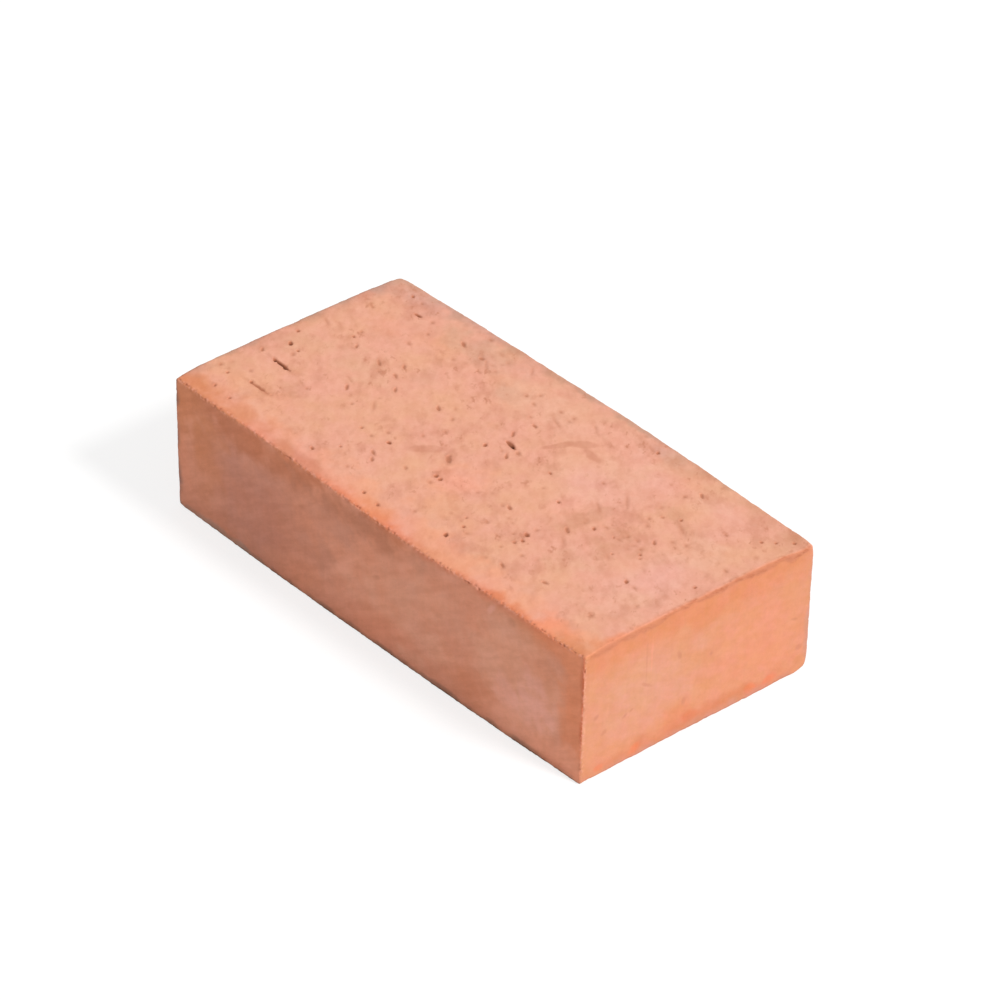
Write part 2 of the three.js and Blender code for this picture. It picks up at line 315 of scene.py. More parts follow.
def wanted_facet(points):
    """Length of facet, in mm, that the clay needs at each place on its box."""
    facet = np.full(len(points), SKIN_FACET)
    upper = points[:, 2] >= HEIGHT
    lower = points[:, 2] <= 0.0
    facet[upper] = BED_FACET
    facet[arris_distance(points) < CHIPPED_REACH] = ARRIS_FACET
    facet[arris_distance(points, CRISP_ARRISES) < CRISP_REACH] = FINEST_FACET
    for pits, bed in ((UPPER_PITS, upper), (LOWER_PITS, lower)):
        places = np.nonzero(bed)[0]
        for pit in pits:
            width, depth = pit[3:5]
            beyond_rim = 1.2 + 0.8 / width
            inside = places[pit_share(points[places], pit) < beyond_rim]
            finer = FINEST_FACET if depth > DEEP_PIT else ARRIS_FACET
            facet[inside] = np.minimum(facet[inside], finer)
    lip = arris_distance(points, ["exit upper"]) < LIP_FACETS_REACH
    facet[lip & ~upper] = FINEST_FACET
    return facet


def clay_lattice():
    """Points on the brick's box, in mm, and the facets between them, finer where wanted."""
    size = np.array([LENGTH, WIDTH, HEIGHT])
    steps = 2 ** HALVINGS
    counts = np.maximum(1, np.round(size / COARSEST_CELL)).astype(int) * steps
    unit = size / counts

    def place(lattice):
        """Place on the box, in mm, of points of the lattice."""
        return lattice * unit - np.array([HALF_LENGTH, HALF_WIDTH, 0.0])

    leaves = []
    for axis, side in itertools.product(range(3), (0, 1)):
        # Seen from outside, u then v turn counterclockwise.
        u, v = ((axis + 1) % 3, (axis + 2) % 3) if side else ((axis + 2) % 3, (axis + 1) % 3)
        first = np.arange(0, counts[u], steps), np.arange(0, counts[v], steps)
        corner = np.stack(np.meshgrid(*first, indexing="ij"), -1).reshape(-1, 2)
        cell = steps
        while len(corner):
            lattice = np.full((len(corner), 3), float(side * counts[axis]))
            lattice[:, [u, v]] = corner + cell / 2
            too_long = cell * unit.mean() > wanted_facet(place(lattice)) * FACET_SLACK
            split = too_long & (cell > 1)
            for a, b in corner[~split]:
                leaves.append((axis, side * counts[axis], u, v, a, b, cell))
            cell //= 2
            quarters = [corner[split] + (a, b) for a in (0, cell) for b in (0, cell)]
            corner = np.concatenate(quarters)

    index = {}
    lattice_points = []

    def vertex(key):
        """Number of the mesh's point at a point of the lattice; makes it if it is new."""
        if key not in index:
            index[key] = len(lattice_points)
            lattice_points.append(key)
        return index[key]

    def key_at(leaf, du, dv):
        """Point of the lattice that lies du and dv from the first corner of a cell."""
        axis, level, u, v, a, b, _ = leaf
        key = [0, 0, 0]
        key[axis], key[u], key[v] = int(level), int(a + du), int(b + dv)
        return tuple(key)

    for leaf in leaves:
        cell = leaf[-1]
        for du, dv in ((0, 0), (cell, 0), (cell, cell), (0, cell)):
            vertex(key_at(leaf, du, dv))
    # A cell beside finer ones has their corners on its rim and is split round its middle.
    facets = []
    for leaf in leaves:
        cell = leaf[-1]
        rim = [(k, 0) for k in range(cell)] + [(cell, k) for k in range(cell)]
        rim += [(cell - k, cell) for k in range(cell)] + [(0, cell - k) for k in range(cell)]
        ring = [index[key] for key in (key_at(leaf, *step) for step in rim) if key in index]
        if len(ring) == 4:
            facets.append(ring)
            continue
        middle = vertex(key_at(leaf, cell // 2, cell // 2))
        facets.extend((a, b, middle) for a, b in zip(ring, ring[1:] + ring[:1]))
    return place(np.array(lattice_points, float)), facets


def rounding(points):
    """Radius of the nearest arrises at each point, with uneven wear and knocked corners."""
    total = np.zeros(len(points))
    weights = np.zeros(len(points))
    for sides, radius in ARRISES.values():
        weight = 1.0 / (distance_to(points, sides) ** 2 + 1.0) ** 2
        total += weight * radius
        weights += weight
    radius = total / weights
    long_wear = 0.25 * rough_noise(points, size=22.0, seed=11)
    short_wear = 0.20 * soft_noise(points, size=4.0, seed=17)
    radius *= 1.0 + long_wear + short_wear
    for sides, extra, reach in KNOCKED_CORNERS:
        radius += extra * fade(distance_to(points, sides), reach)
    return radius


def round_arrises(points):
    """Moves points of the box onto the rounded arrises, and gives the way outwards at each."""
    radius = rounding(points)[:, None]
    lowest = np.array([-HALF_LENGTH, -HALF_WIDTH, 0.0]) + radius
    highest = np.array([HALF_LENGTH, HALF_WIDTH, HEIGHT]) - radius
    core = np.clip(points, lowest, highest)
    outward = points - core
    outward /= np.linalg.norm(outward, axis=1)[:, None]
    return core + radius * outward, outward


def bed_drop(points):
    """How far the upper bed has worn or sunk below its level at each place, in mm."""
    x, y, _ = points.T
    dips = sum(depth * np.exp(-((x - middle) / spread) ** 2) for middle, depth, spread in WORN_DIPS)
    sunk = sum(depth * fade(HALF_LENGTH - end * x, reach) for end, depth, reach in SUNK_CORNERS)
    return dips * fade(y + HALF_WIDTH, WORN_WIDTH) + sunk * fade(HALF_WIDTH - y, SUNK_WIDTH)


def settled(points):
    """Swells and leans the upright faces and drops the upper bed."""
    along, across = points[:, 0] / HALF_LENGTH, points[:, 1] / HALF_WIDTH
    to_exit, to_back, rise = (1 + along) / 2, (1 + across) / 2, points[:, 2] / HEIGHT
    moved = points.copy()
    moved[:, 0] += (1 - to_exit) * SWELL_ENTRY * across ** 2 - to_exit * EXIT_LEAN * (1 - rise)
    moved[:, 1] += ((1 - to_back) * SWELL_FRONT - to_back * SWELL_BACK) * along ** 2
    moved[:, 2] -= rise * bed_drop(points)
    return moved


def pit_marks(points, pits, bed):
    """At each point of the box: depth of a torn pit and height of the rim pushed up round it,
    in mm, and how much its smudge stains the bed, from 0 to 1."""
    depth, rim, smudge = np.zeros((3, len(points)))
    places = np.nonzero(bed)[0]
    ragged = RIM_RAGGEDNESS * soft_noise(points[places], RIM_LUMPS, seed=5)
    for pit in pits:
        width, deepest = pit[3:5]
        share = pit_share(points[places], pit) + ragged
        near = share < 3.0
        spots, share = places[near], share[near]
        hollow = deepest * np.clip(1.0 - share ** 2, 0.0, 1.0) ** 0.7
        pushed_up = RIM_HEIGHT * deepest * fade(np.abs(share - RIM_PLACE), RIM_SPREAD)
        stain = min(1.0, LEAST_STAIN + deepest) * fade(share - STAIN_START, 0.5 + 1.6 / width)
        depth[spots] = np.maximum(depth[spots], hollow)
        rim[spots] = np.maximum(rim[spots], pushed_up)
        smudge[spots] = np.maximum(smudge[spots], stain)
    return depth, rim, smudge


def hollows(points, depth, size, rareness, seed, octaves=3):
    """Depth in mm of ragged hollows about size mm across; the higher rareness, the fewer."""
    return depth * np.clip(rough_noise(points, size, seed, octaves) - rareness, 0.0, 1.0)


def chipped(points):
    """Depth of the bites and crumbs that handling took out of the arrises, in mm."""
    bites = hollows(points, depth=1.6, size=5.0, rareness=0.42, seed=71)
    crumbs = hollows(points, depth=0.8, size=1.9, rareness=0.28, seed=75, octaves=2)
    handled = (bites + crumbs) * fade(arris_distance(points), CHIPPED_REACH)
    # The crisp front lower arris was spared most of it.
    handled *= 1.0 - 0.7 * fade(arris_distance(points, ["front lower"]), reach=3.0)
    worst = sum(np.exp(-((points[:, 0] - middle) / spread) ** 2) for middle, spread in CRUMBLED)
    crumbled = hollows(points, depth=0.9 + 0.7 * worst, size=1.7, rareness=0.14 - 0.18 * worst,
                       seed=79, octaves=2)
    crumbled *= fade(arris_distance(points, ["front upper"]), CRUMBLED_REACH)
    return np.maximum(handled, crumbled)


def lip_shares(points):
    """How much of the lip and of the crease below it each point has, from 0 to 1; both are
    weaker towards the front."""
    to_front = 0.5 - points[:, 1] / WIDTH
    edge = LIP_BACK + (LIP_FRONT - LIP_BACK) * to_front ** 2
    wander = LIP_WANDER * rough_noise(points * (1, 1, 0), size=7.0, seed=81)
    below = HEIGHT - points[:, 2] - edge - wander
    near = fade(HALF_LENGTH - points[:, 0], LIP_START)
    near *= fade(np.abs(points[:, 1]) - HALF_WIDTH + LIP_ENDS, LIP_ENDS)
    lip = near * fade(below, LIP_SOFTNESS) * (1.0 - 0.3 * to_front ** 2)
    crease = near * fade(np.abs(below - CREASE_DROP), CREASE_REACH)
    crease *= 1.0 - 0.75 * to_front ** 2
    return lip, crease


def surface_relief(points):
    """Relief of the clay at each point of the box, in mm; outwards is positive."""
    on_bed = (points[:, 2] <= 0.0) | (points[:, 2] >= HEIGHT)
    drag = soft_noise(points, size=(14.0, 1.6, 5.0), seed=31)
    drag += 0.6 * soft_noise(points, size=(9.0, 3.5, 5.0), seed=37)
    near_arris = fade(arris_distance(points), GRAINY_REACH)
    near_front = fade(arris_distance(points, ["front upper"]), GRAINY_REACH)
    relief = np.where(on_bed, DRAG_LINES * drag, 0.0)
    relief += UNEVENNESS * rough_noise(points, size=30.0, seed=51)
    relief += ARRIS_GRAINS * near_arris * rough_noise(points, size=1.8, seed=61)
    relief += FRONT_GRAINS * near_front * rough_noise(points, size=1.3, seed=67)
    return relief


def brick_mesh():
    """The brick's mesh, with marks on its points that its material reads."""
    box_points, facets = clay_lattice()
    places, outward = round_arrises(box_points)
    upper = pit_marks(box_points, UPPER_PITS, box_points[:, 2] >= HEIGHT)
    lower = pit_marks(box_points, LOWER_PITS, box_points[:, 2] <= 0.0)
    torn, rim, smudge = np.add(upper, lower)
    bites = chipped(box_points)
    lip, crease = lip_shares(box_points)
    relief = surface_relief(box_points) + rim - torn - bites
    places += outward * relief[:, None]
    # Under the lip, the exit header stands in.
    faces_exit = outward[:, 0] > 0.3
    places[:, 0] += LIP_PROJECTION * (lip - 1.0) * faces_exit
    places = settled(places)
    places[:, 2] = np.clip(places[:, 2], 0.0, HEIGHT + TALLEST_GRAIN)
    mesh = bpy.data.meshes.new("brick")
    mesh.from_pydata((places * MM).tolist(), [], facets)
    mesh.polygons.foreach_set("use_smooth", [True] * len(mesh.polygons))
    marks = {
        "torn": torn,
        "smudge": smudge,
        "bed": np.abs(outward[:, 2]),
        "header": np.abs(outward[:, 0]),
        "bitten": np.clip(bites / FULLY_BITTEN, 0.0, 1.0),
        "scuffed_and_highlit": fade(arris_distance(box_points, HIGHLIT_SCUFFED_ARRISES), HIGHLIT_SCUFF_REACH),
        "lip": lip * (1.0 - 0.65 * outward[:, 2] ** 6),
        "crease": crease,
    }
    for name, values in marks.items():
        mark = mesh.attributes.new(name, "FLOAT", "POINT")
        mark.data.foreach_set("value", values.astype(np.float32))
    mesh.validate()
    return mesh


def add_node(tree, kind, inputs=None, **settings):
    """Adds a shader node; inputs maps a socket to its value or to the socket that feeds it."""
    made = tree.nodes.new(kind)
    for name, value in settings.items():
        setattr(made, name, value)
    for name, value in (inputs or {}).items():
        if isinstance(value, bpy.types.NodeSocket):
            tree.links.new(value, made.inputs[name])
        else:
            made.inputs[name].default_value = value
    return made


def add_maths(tree, operation, first, second):
    """Adds a sum, product or the like of two values."""
    return add_node(tree, "ShaderNodeMath", {0: first, 1: second}, operation=operation).outputs[0]


def add_vector_maths(tree, operation, first, second=(0, 0, 0)):
    """Adds a sum, product or the like of two vectors, or the length of one."""
    made = add_node(tree, "ShaderNodeVectorMath", {0: first, 1: second}, operation=operation)
    return made.outputs["Value" if operation == "LENGTH" else "Vector"]


def add_step(tree, value, start, end, low=0.0, high=1.0):
    """low before start, high after end and smooth between, whichever of start and end is less."""
    ranges = {"Value": value, "From Min": start, "From Max": end, "To Min": low, "To Max": high}
    made = add_node(tree, "ShaderNodeMapRange", ranges, interpolation_type="SMOOTHSTEP")
    return made.outputs["Result"]


def add_noise(tree, place, size=1.0, detail=2.0, roughness=0.5):
    """Noise between about 0.25 and 0.75 that changes over about size mm."""
    made = add_node(tree, "ShaderNodeTexNoise",
                    {"Vector": place, "Scale": 1 / size, "Detail": detail, "Roughness": roughness})
    return made.outputs["Fac"]


def add_streaks(tree, place, rates, detail=2.0, roughness=0.5):
    """Noise drawn out along some axes; rates is how often it changes in each mm along each."""
    drawn_out = add_vector_maths(tree, "MULTIPLY", place, rates)
    return add_noise(tree, drawn_out, detail=detail, roughness=roughness)


def add_turn(tree, place, axis, degrees):
    """The place turned about an axis."""
    turn = {"Vector": place, "Axis": axis, "Angle": math.radians(degrees)}
    return add_node(tree, "ShaderNodeVectorRotate", turn).outputs[0]


def add_mix(tree, factor, first, second, blend="MIX"):
    """Lays the second colour over the first, wholly where factor is 1."""
    made = add_node(tree, "ShaderNodeMix", {"Factor": factor, "A": first, "B": second},
                    data_type="RGBA", blend_type=blend)
    return made.outputs["Result"]


def new_group(name, inputs, output, output_kind):
    """A shader node group with one output; inputs maps each name to its kind of socket."""
    group = bpy.data.node_groups.new(name, "ShaderNodeTree")
    for label, kind in inputs.items():
        group.interface.new_socket(label, in_out="INPUT", socket_type="NodeSocket" + kind)
    group.interface.new_socket(output, in_out="OUTPUT", socket_type="NodeSocket" + output_kind)
    entry = group.nodes.new("NodeGroupInput")
    end = group.nodes.new("NodeGroupOutput")
    return group, entry.outputs, end.inputs[output]


def add_group(tree, group, inputs):
    """Places a node group and gives its one output."""
    return add_node(tree, "ShaderNodeGroup", inputs, node_tree=group).outputs[0]


# A patch, of the kiln's colours or of painted shade, ends at this share of its reach.
PATCH_END = 1.15
# Noise of this strength, in mm, and this scale pushes specks out of their even pattern.
SPECK_WOBBLE, SPECK_WOBBLE_SCALE = 4.5, 0.6


def kiln_and_shade_patch_group():
    """Recolours the clay in a ragged patch, where flame, ash or a neighbour touched it, or with
    painted shade.
    """
    inputs = {"Clay": "Color", "Place": "Vector", "Ragged": "Float", "Centre": "Vector",
              "Reach": "Vector", "Turn": "Vector", "Tint": "Color", "Strength": "Float",
              "Softness": "Float", "Unevenness": "Float"}
    group, given, result = new_group("kiln and shade patch", inputs, "Clay", "Color")
    aside = add_vector_maths(group, "SUBTRACT", given["Place"], given["Centre"])
    turn = {"Vector": aside, "Rotation": given["Turn"]}
    turned = add_node(group, "ShaderNodeVectorRotate", turn, rotation_type="EULER_XYZ").outputs[0]
    stretched = add_vector_maths(group, "DIVIDE", turned, given["Reach"])
    share = add_vector_maths(group, "LENGTH", stretched)
    ragged = add_maths(group, "MULTIPLY", given["Ragged"], given["Unevenness"])
    share = add_maths(group, "ADD", share, ragged)
    inside = add_maths(group, "SUBTRACT", PATCH_END, share)
    mask = add_step(group, add_maths(group, "DIVIDE", inside, given["Softness"]), 0.0, 1.0)
    mask = add_maths(group, "MULTIPLY", mask, given["Strength"])
    group.links.new(add_mix(group, mask, given["Clay"], given["Tint"]), result)
    return group


def speck_group():
    """Marks a share of the cells of a random pattern with one ragged speck each."""
    inputs = {"Place": "Vector", "Spacing": "Float", "Size": "Float", "Share": "Float"}
    group, given, result = new_group("specks", inputs, "Mask", "Float")
    noise = {"Vector": given["Place"], "Scale": SPECK_WOBBLE_SCALE, "Detail": 1.0}
    wobble = add_node(group, "ShaderNodeTexNoise", noise).outputs["Color"]
    wobble = add_vector_maths(group, "SUBTRACT", wobble, (0.5, 0.5, 0.5))
    wobble = add_vector_maths(group, "MULTIPLY", wobble, (SPECK_WOBBLE,) * 3)
    place = add_vector_maths(group, "ADD", given["Place"], wobble)
    scale = add_maths(group, "DIVIDE", 1.0, given["Spacing"])
    cells = add_node(group, "ShaderNodeTexVoronoi", {"Vector": place, "Scale": scale})
    chance = add_node(group, "ShaderNodeSeparateColor", {"Color": cells.outputs["Color"]}).outputs
    chosen = add_maths(group, "LESS_THAN", chance["Red"], given["Share"])
    darkness = add_step(group, chance["Green"], 0.0, 1.0, low=0.35)
    chosen = add_maths(group, "MULTIPLY", chosen, darkness)
    size = add_maths(group, "DIVIDE", given["Size"], given["Spacing"])
    away = add_maths(group, "DIVIDE", cells.outputs["Distance"], size)
    near = add_step(group, add_maths(group, "SUBTRACT", 1.0, away), 0.0, 0.9)
    mask = add_maths(group, "MULTIPLY", near, chosen)
    group.links.new(mask, result)
    return group


KILN_AND_SHADE_PATCH = kiln_and_shade_patch_group()
SPECKS = speck_group()

# Colours of the fired clay: on each kind of face, and where the wire or handling marked it. Those
# of pits, bites, the lip and its crease carry painted shade, and that of scuffs painted highlight.
BED_CLAY = (0.856, 0.416, 0.279, 1)
STRETCHER_CLAY = (0.806, 0.332, 0.209, 1)
HEADER_CLAY = (0.726, 0.302, 0.170, 1)
SMUDGE = (0.56, 0.205, 0.115, 1)
# In pits: the torn clay's brown with painted shade, and painted shade deep in them.
TORN_BROWN_AND_SHADE = (0.50, 0.185, 0.100, 1)
DEEP_PIT_SHADE = (0.15, 0.045, 0.020, 1)
# Bites: broken clay with painted shade in their hollows.
BITTEN_CLAY_AND_SHADE = (0.50, 0.150, 0.078, 1)
# The lip's darker clay with painted shade, and the crease under it, painted shade with torn clay.
LIP_CLAY_AND_SHADE = (0.63, 0.230, 0.128, 1)
CREASE_SHADE_AND_CLAY = (0.55, 0.182, 0.091, 1)
# Scuffs: lighter clay with painted highlight.
SCUFFED_CLAY_AND_HIGHLIGHT = (0.93, 0.415, 0.292, 1)

# Pairs of tints that take turns over the clay, and multiply its colour.
BED_CLOUDS = (0.99, 1.015, 0.95), (1.01, 0.985, 1.05)
BED_SMEARS = (1.02, 1.04, 1.045), (0.98, 0.955, 0.945)
BED_GRAIN = (0.985, 0.98, 0.975), (1.015, 1.02, 1.025)
STRETCHER_SMEARS = (0.945, 0.925, 0.91), (1.055, 1.075, 1.09)
STRETCHER_CLOUDS = (0.99, 1.015, 1.04), (1.01, 0.985, 0.96)
HEADER_CLOUDS = (0.99, 1.01, 0.945), (1.01, 0.99, 1.055)
HEADER_STREAKS = (0.985, 0.98, 0.935), (1.015, 1.02, 1.065)
SKIN_CLOUDS = (0.98, 0.97, 0.95), (1.02, 1.03, 1.05)
SKIN_STREAKS = (0.99, 0.99, 0.99), (1.01, 1.01, 1.01)
SKIN_GRAIN = (0.985, 0.985, 0.985), (1.015, 1.015, 1.015)

# How squarely the clay faces along an axis, from 0 to 1, where the finish of that face starts
# on a rounded arris and where it is whole.
FACING = 0.5, 0.85
# How far, in degrees, the drag of the wire slants on the beds, the smears of the belt on the
# stretchers and the streaks of the die on the headers.
DRAG_SLANT, SMEAR_SLANT, STREAK_SLANT = 41, 31, 23
# Marks on the beds change at this rate along the drag and across it.
DRAG_STRETCH = (0.6, 1, 1)
# Between these places across the brick, in mm, the rim along the front, worn smooth, gives way
# to gritty clay.
SMOOTH_RIM = -57.0, -46.0
# Specks on the beds: spacing and size in mm, share of the places that have one, and strength.
SPECK_KINDS = [(5.2, 2.0, 0.52, 0.72), (2.6, 1.2, 0.30, 0.62)]
# How strongly bitten clay with its painted shade, smudged clay and the bed's cloudy smudges take
# their colours.
BITTEN_STRENGTH, SMUDGE_STRENGTH, CLOUD_STRENGTH = 0.60, 0.40, 0.38
# Fired clay is matt. Relief too fine for the mesh: height in mm of the grains on the skin and
# on the beds, and of soft lumps everywhere.
CLAY_ROUGHNESS, CLAY_SPECULAR = 0.9, 0.2
SKIN_GRAINS, BED_GRAINS, SOFT_LUMPS = 0.03, 0.09, 0.25

# Shades that flame and handling gave the clay, and darker ones for painted shade along the feet and
# along arrises that turn away from the lamp.
SHADES = {
    "rose": (0.95, 0.44, 0.33), "peach": (0.885, 0.45, 0.335), "apricot": (0.925, 0.40, 0.26),
    "sand": (0.825, 0.42, 0.29), "salmon": (0.85, 0.385, 0.25), "coral": (0.835, 0.33, 0.205),
    "dun": (0.72, 0.38, 0.28), "tan": (0.72, 0.335, 0.215), "painted taupe shade": (0.62, 0.29, 0.21),
    "flame": (0.95, 0.345, 0.185), "orange": (0.85, 0.285, 0.14), "ginger": (0.775, 0.30, 0.175),
    "amber": (0.73, 0.265, 0.13), "ember": (0.785, 0.225, 0.105), "oxblood": (0.68, 0.165, 0.075),
    "russet": (0.68, 0.285, 0.185), "rust": (0.65, 0.22, 0.11), "umber": (0.59, 0.23, 0.135),
    "plum": (0.63, 0.26, 0.178), "painted grey shade": (0.55, 0.31, 0.23), "painted foot shade": (0.42, 0.20, 0.135),
    "painted arris shade": (0.30, 0.16, 0.13), "painted contact shadow": (0.20, 0.11, 0.065),
}

# Patches on each face, left by the kiln and handling, and patches of painted shade along the feet
# and along arrises that turn away from the lamp: place and reach along the two axes that lie in the
# face, in mm, turn in degrees from the first axis towards the second, shade, strength and softness
# of the edge.
UPPER_BED_PATCHES = [
    ((0, -58), (260, 13), 0, "apricot", 0.75, 0.8),
    ((0, -61), (260, 6.5), 0, "ember", 0.80, 0.8),
    ((-48, -57), (34, 6), 0, "russet", 0.65, 1.0),
    ((-2, -57), (20, 6), 0, "orange", 0.65, 0.9),
    ((38, -54), (26, 8), 0, "apricot", 0.80, 0.9),
    ((27, -59), (14, 5), 0, "ginger", 0.50, 0.9),
    ((104, -56), (14, 8), 0, "flame", 0.85, 0.9),
    ((116, -59), (12, 6.5), 0, "amber", 0.75, 0.9),
    ((-94, -55), (34, 8), 0, "ginger", 0.60, 1.0),
    ((-121, -57), (17, 10), 0, "amber", 0.95, 0.9),
    ((-82, -54), (16, 5), 0, "ginger", 0.60, 1.0),
    ((124, -44), (4.5, 14), 0, "orange", 0.75, 1.2),
    ((126, -30), (4, 40), 0, "flame", 0.50, 1.0),
    ((127, 20), (3.5, 50), 0, "coral", 0.50, 1.0),
    # Along the entry end of the bed, the greyer patches are painted shade, where the bed rounds
    # over away from the lamp.
    ((-125, 10), (10, 80), 0, "tan", 0.60, 1.0),
    ((-124, -48), (6, 11), 0, "painted taupe shade", 0.85, 1.0),
    ((-124, 48), (8, 12), 0, "painted grey shade", 0.85, 1.0),
    ((-121, -10), (9, 14), 0, "tan", 0.70, 1.0),
    ((-126, 30), (6.5, 34), 0, "painted grey shade", 0.60, 0.9),
    ((-110, -2), (10, 14), 0, "sand", 0.50, 1.0),
    ((-126, 0), (4.5, 110), 0, "painted grey shade", 0.65, 0.8),
    ((0, 60), (240, 13), 0, "sand", 0.55, 1.0),
    # Painted shade along the back upper arris.
    ((0, 61), (230, 5), 0, "painted grey shade", 0.75, 0.8),
    ((-68, 60.5), (62, 7), 0, "painted grey shade", 0.70, 0.8),
    ((-98, 30), (16, 8), 0, "salmon", 0.70, 1.0),
    ((-84, 2), (24, 11), 0, "sand", 0.70, 1.0),
    ((-58, 18), (9, 9), 0, "sand", 0.60, 1.0),
    ((-75, 36), (12, 9), 0, "salmon", 0.60, 1.0),
    ((-8, 40), (32, 13), 0, "peach", 0.80, 1.0),
    ((-28, 34), (8, 7), 0, "dun", 0.50, 1.0),
    ((84, 45), (18, 10), 0, "peach", 0.65, 1.0),
    ((112, -18), (12, 16), 0, "peach", 0.72, 1.0),
    ((100, 24), (10, 14), 0, "peach", 0.72, 1.0),
    ((46, 2), (8, 10), 0, "rose", 0.60, 1.0),
    ((40, 18), (26, 20), 0, "peach", 0.80, 1.0),
    ((63, 47), (12, 9), 0, "salmon", 0.50, 1.0),
    ((76, -20), (14, 13), 0, "sand", 0.70, 1.0),
    ((6, -22), (14, 18), 0, "apricot", 0.70, 1.0),
    ((22, -36), (34, 8), 0, "salmon", 0.45, 1.0),
    ((-88, -40), (24, 8), 0, "salmon", 0.60, 1.0),
    ((104, -4), (14, 44), 0, "peach", 0.85, 1.0),
    ((78, -3), (13, 11), 0, "tan", 0.55, 1.0),
    ((12.5, 25), (7.5, 1.9), 63, "russet", 0.65, 0.6),
    ((19, 34), (7.0, 3.0), 43, "russet", 0.62, 0.6),
    ((26, 31), (7.5, 2.4), -7, "russet", 0.62, 0.6),
    ((57, 2), (5, 14), -15, "tan", 0.60, 0.6),
    ((-19, -15.5), (12, 2.6), 48, "russet", 0.50, 0.6),
    ((-9, -11.5), (6, 2.8), -40, "russet", 0.55, 0.6),
    ((-85, -28), (9, 6), 0, "tan", 0.50, 1.0),
    ((82, 27), (12, 3.6), -22, "tan", 0.55, 0.6),
    ((-58, 46), (26, 9), 0, "dun", 0.60, 1.0),
    ((47, 55), (14, 5), 0, "dun", 0.75, 0.8),
    ((119, 51), (9, 9), 0, "tan", 0.70, 1.0),
    ((98, 58), (30, 9), 0, "tan", 0.75, 1.0),
    ((62, 56), (14, 9), 0, "tan", 0.50, 1.0),
    ((-42, 59), (40, 7), 0, "tan", 0.50, 1.0),
    ((-104, 54), (18, 9), 0, "dun", 0.75, 0.9),
    ((-110, -46), (9, 6), 0, "salmon", 0.50, 0.8),
    ((50, 37), (20, 14), 0, "peach", 0.65, 1.0),
]
LOWER_BED_PATCHES = [
    ((-30, 10), (60, 34), 20, "tan", 0.60, 0.8),
    ((70, -30), (40, 20), -15, "salmon", 0.60, 0.8),
    ((0, 60), (150, 9), 0, "ginger", 0.60, 0.8),
]
FRONT_PATCHES = [
    ((-74, 26), (48, 40), 0, "plum", 0.85, 1.0),
    ((-76, 56), (58, 11), 0, "rust", 0.80, 0.9),
    ((-104, 34), (14, 34), 0, "amber", 0.60, 1.0),
    ((-102, 58), (12, 6), 0, "rust", 0.60, 1.0),
    ((-8, 53), (40, 9), 0, "umber", 0.85, 0.9),
    ((-26, 44), (34, 11), 0, "russet", 0.65, 1.0),
    ((92, 55), (22, 8), 0, "amber", 0.80, 0.9),
    ((0, 62), (250, 3), 0, "amber", 0.60, 0.8),
    ((52, 62), (92, 5), 0, "ember", 0.60, 0.8),
    ((-34, 59), (10, 5), 0, "rust", 0.70, 0.9),
    ((17, 58), (9, 6), 0, "rust", 0.65, 0.9),
    ((2, 60), (16, 4), 0, "rust", 0.65, 0.9),
    ((102, 60), (26, 5), 0, "ember", 0.60, 0.9),
    ((-116, 54), (14, 26), 20, "amber", 0.80, 0.9),
    ((-120, 14), (8, 24), 0, "coral", 0.65, 0.9),
    ((-48, 8), (24, 9), 15, "ginger", 0.50, 1.0),
    ((18, 31), (42, 19), 18, "salmon", 0.70, 1.0),
    ((-36, 24), (20, 12), 0, "russet", 0.60, 1.0),
    ((38, 16), (22, 10), 0, "salmon", 0.60, 1.0),
    ((-12, 31), (20, 3), 42, "apricot", 0.50, 0.8),
    ((88, 30), (29, 30), -15, "salmon", 0.90, 0.6),
    ((80, 20), (10, 9), 0, "rose", 0.60, 0.9),
    ((101, 42), (12, 9), 0, "ginger", 0.70, 0.9),
    ((98, 23), (12, 15), -15, "rose", 0.80, 0.8),
    ((60, 11), (15, 10), 0, "ginger", 0.80, 0.5),
    ((8, 7), (38, 10), 0, "coral", 0.75, 0.9),
    ((26, 6), (12, 6), 0, "salmon", 0.60, 0.9),
    ((92, 6), (36, 9), 0, "apricot", 0.75, 0.9),
    ((-54, 31), (11, 2.2), 28, "umber", 0.35, 0.9),
    ((-42, 42), (3.5, 2), 30, "umber", 0.45, 1.0),
    ((4, 33), (3, 1.5), 25, "umber", 0.40, 1.0),
    ((41, 35), (3, 1.5), 25, "umber", 0.40, 1.0),
    ((72, 55), (4, 1.6), 50, "rose", 0.60, 0.9),
    ((84, 55), (3, 2.2), 0, "umber", 0.35, 1.0),
    ((121, 31), (11, 60), 0, "orange", 0.75, 0.8),
    ((117, 55), (9, 8), 0, "flame", 0.65, 0.9),
    ((118, 8), (10, 7), 0, "apricot", 0.72, 0.9),
    ((108, 56), (14, 7), 0, "orange", 0.70, 0.9),
    ((125, 31), (2.6, 60), 0, "oxblood", 0.85, 0.8),
    ((-121, 44), (7, 22), 0, "amber", 0.60, 0.9),
    # Painted shade along the front entry upright, which turns away from the lamp.
    ((-125, 31), (4.0, 60), 0, "painted arris shade", 0.85, 1.0),
    # Along the foot: painted shade, and at its very bottom a darker painted contact shadow.
    ((0, 0), (250, 2.8), 0, "painted foot shade", 0.80, 0.8),
    ((-98, 1), (36, 3), 0, "painted grey shade", 0.80, 0.8),
    ((114, 1), (16, 3.5), 0, "coral", 0.70, 0.8),
    ((0, -0.4), (250, 1.4), 0, "painted contact shadow", 0.78, 0.8),
]
BACK_PATCHES = [
    ((-40, 26), (48, 24), 20, "russet", 0.80, 0.8),
    ((52, 38), (36, 20), -15, "salmon", 0.75, 0.6),
    ((105, 14), (22, 18), 0, "ginger", 0.75, 0.8),
    # Painted shade along the foot.
    ((0, 0), (250, 3.6), 0, "painted foot shade", 0.60, 0.8),
]
